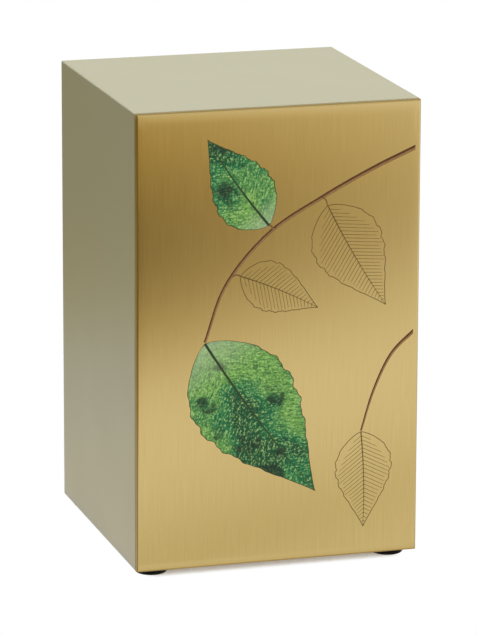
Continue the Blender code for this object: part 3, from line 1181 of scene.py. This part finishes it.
def mirrored_room(card, settings):
    """What the urn mirrors of the room past the table, from white through pale and dim to its darkest."""
    material, add, place = new_material(card.name)
    distance = add("VectorMath", "DOT_PRODUCT", place, card.direction).outputs["Value"]
    share = add("Math", "DIVIDE", distance, SHADE_REACH)
    stops = [(far / SHADE_REACH, dark) for far, dark in card.shade]
    dark = add("ValToRGB", {"stops": stops}, share)
    axes = add("SeparateXYZ", None, place)
    fade = add("MapRange", None, axes, *card.fade)
    faded = add("Math", "MULTIPLY", dark, fade)
    bright = add("Math", "SUBTRACT", 1.0, faded)
    rising = (settings.room_dark, settings.room_mid, settings.room_pale, getattr(settings, card.white))
    tones = [(0.0, 0.0)] + list(zip(ROOM_TONES, rising))
    tone = add("ValToRGB", {"stops": tones}, bright)
    far = add("MapRange", None, distance, *FAR_RANGE, 0.0, 1.0)
    warmth = add("Math", "MULTIPLY", far, fade)
    over = {"data_type": "RGBA", "blend_type": "MULTIPLY"}
    tinted = add("Mix", over, warmth, tone, getattr(settings, card.far))
    glow = add("Emission", None, tinted, card.glow)
    tree = material.node_tree
    fill_input(tree, tree.nodes["Material Output"].inputs["Surface"], glow)
    tree.nodes.remove(tree.nodes["Principled BSDF"])
    return material


def studio_world(settings):
    """A white tent in front, on the right and behind, a dim wall on the left, and the lit table below."""
    world = bpy.data.worlds.new("studio")
    world.use_nodes = True
    tree = world.node_tree
    add = functools.partial(add_node, tree)
    sky = add("TexCoord").outputs["Generated"]
    axes = add("SeparateXYZ", None, sky)
    rightwards = add("MapRange", None, axes.outputs["X"], *LEFT_RANGE, 0.0, 1.0)
    backwards = add("MapRange", None, axes.outputs["Y"], *SWEEP_RANGE, 0.0, 1.0)
    open_share = add("Math", "MAXIMUM", rightwards, backwards)
    above = add("MapRange", None, axes.outputs["Z"], *HORIZON, 0.0, 1.0)
    table = (settings.off_table, settings.off_table, settings.off_table, 1.0)
    blend = {"data_type": "RGBA"}
    room = add("Mix", blend, open_share, settings.wall, settings.tent)
    dome = add("Mix", blend, above, table, room)
    fill_input(tree, tree.nodes["Background"].inputs["Color"], dome)
    return world


def hide_from(piece, *rays):
    """Keeps a piece or a lamp out of some kinds of rays."""
    for ray in rays:
        setattr(piece, "visible_" + ray, False)


def soft_light(settings):
    """A large round cloth overhead, lit from behind, too soft to show as a glint."""
    light = bpy.data.lights.new("key", "AREA")
    light.shape = "DISK"
    light.size = 2 * KEY_RADIUS
    light.energy = settings.key
    lamp = link_object("key", light)
    lamp.location = (0.0, 0.0, KEY_HEIGHT)
    hide_from(lamp, "camera", "glossy")


class URN_OT_studio(bpy.types.Operator):
    """Set the white table, the cards that the urn mirrors, the soft light and the camera"""

    bl_idname = "urn.studio"
    bl_label = "Studio"

    def execute(self, context):
        settings = context.scene.urn_studio
        scene = context.scene
        reach = TABLE_REACH
        table = box_object("floor", (-reach, -reach, -TABLE_THICKNESS), (reach, reach, 0.0))
        table.data.materials.append(lit_table(settings))
        hide_from(table, "diffuse", "glossy", "shadow")
        for card in MIRROR_CARDS:
            piece = box_object(card.name, (*card.low, 0.0), (*card.high, CARD_HEIGHT))
            piece.data.materials.append(mirrored_room(card, settings))
            hide_from(piece, "camera", "diffuse", "shadow", "transmission")
        soft_light(settings)
        scene.world = studio_world(settings)

        lens = bpy.data.cameras.new("camera")
        lens.lens = CAMERA_LENS
        lens.clip_start = 0.05
        lens.clip_end = 60.0
        camera = link_object("camera", lens)
        yaw, pitch, roll = (math.radians(angle) for angle in (CAMERA_YAW, CAMERA_PITCH, CAMERA_ROLL))
        level = Matrix.Rotation(-yaw, 4, "Z") @ Matrix.Rotation(math.pi / 2 - pitch, 4, "X")
        camera.matrix_world = Matrix.Translation(CAMERA_PLACE) @ level @ Matrix.Rotation(roll, 4, "Z")
        scene.camera = camera
        scene.view_settings.view_transform = "Standard"
        return {"FINISHED"}


# The add-on

STEPS = (
    (URN_OT_body, "urn_body"),
    (URN_OT_front_plate, "urn_plate"),
    (URN_OT_base_board, "urn_base"),
    (URN_OT_feet, "urn_base"),
    (URN_OT_base_screws, "urn_base"),
    (URN_OT_studio, "urn_studio"),
)
SETTINGS = {
    "urn_body": UrnBodySettings,
    "urn_plate": UrnPlateSettings,
    "urn_base": UrnBaseSettings,
    "urn_studio": UrnStudioSettings,
}


class URN_PT_panel(bpy.types.Panel):
    """Lists the urn's pieces, with the sizes and colours of each group"""

    bl_idname = "URN_PT_panel"
    bl_label = "Cremation Urn"
    bl_space_type = "VIEW_3D"
    bl_region_type = "UI"
    bl_category = "Urn"

    def draw(self, context):
        for group, settings in SETTINGS.items():
            box = self.layout.box()
            for operator, owner in STEPS:
                if owner == group:
                    box.operator(operator.bl_idname)
            for name in settings.__annotations__:
                box.prop(getattr(context.scene, group), name)


CLASSES = (*SETTINGS.values(), *(operator for operator, _ in STEPS), URN_PT_panel)


def register():
    for cls in CLASSES:
        bpy.utils.register_class(cls)
    for name, settings in SETTINGS.items():
        setattr(bpy.types.Scene, name, bpy.props.PointerProperty(type=settings))


def unregister():
    for name in SETTINGS:
        delattr(bpy.types.Scene, name)
    for cls in reversed(CLASSES):
        bpy.utils.unregister_class(cls)


def main():
    register()
    bpy.ops.urn.body()
    bpy.ops.urn.front_plate()
    bpy.ops.urn.base_board()
    bpy.ops.urn.feet()
    bpy.ops.urn.base_screws()
    bpy.ops.urn.studio()


if __name__ == "__main__":
    main()
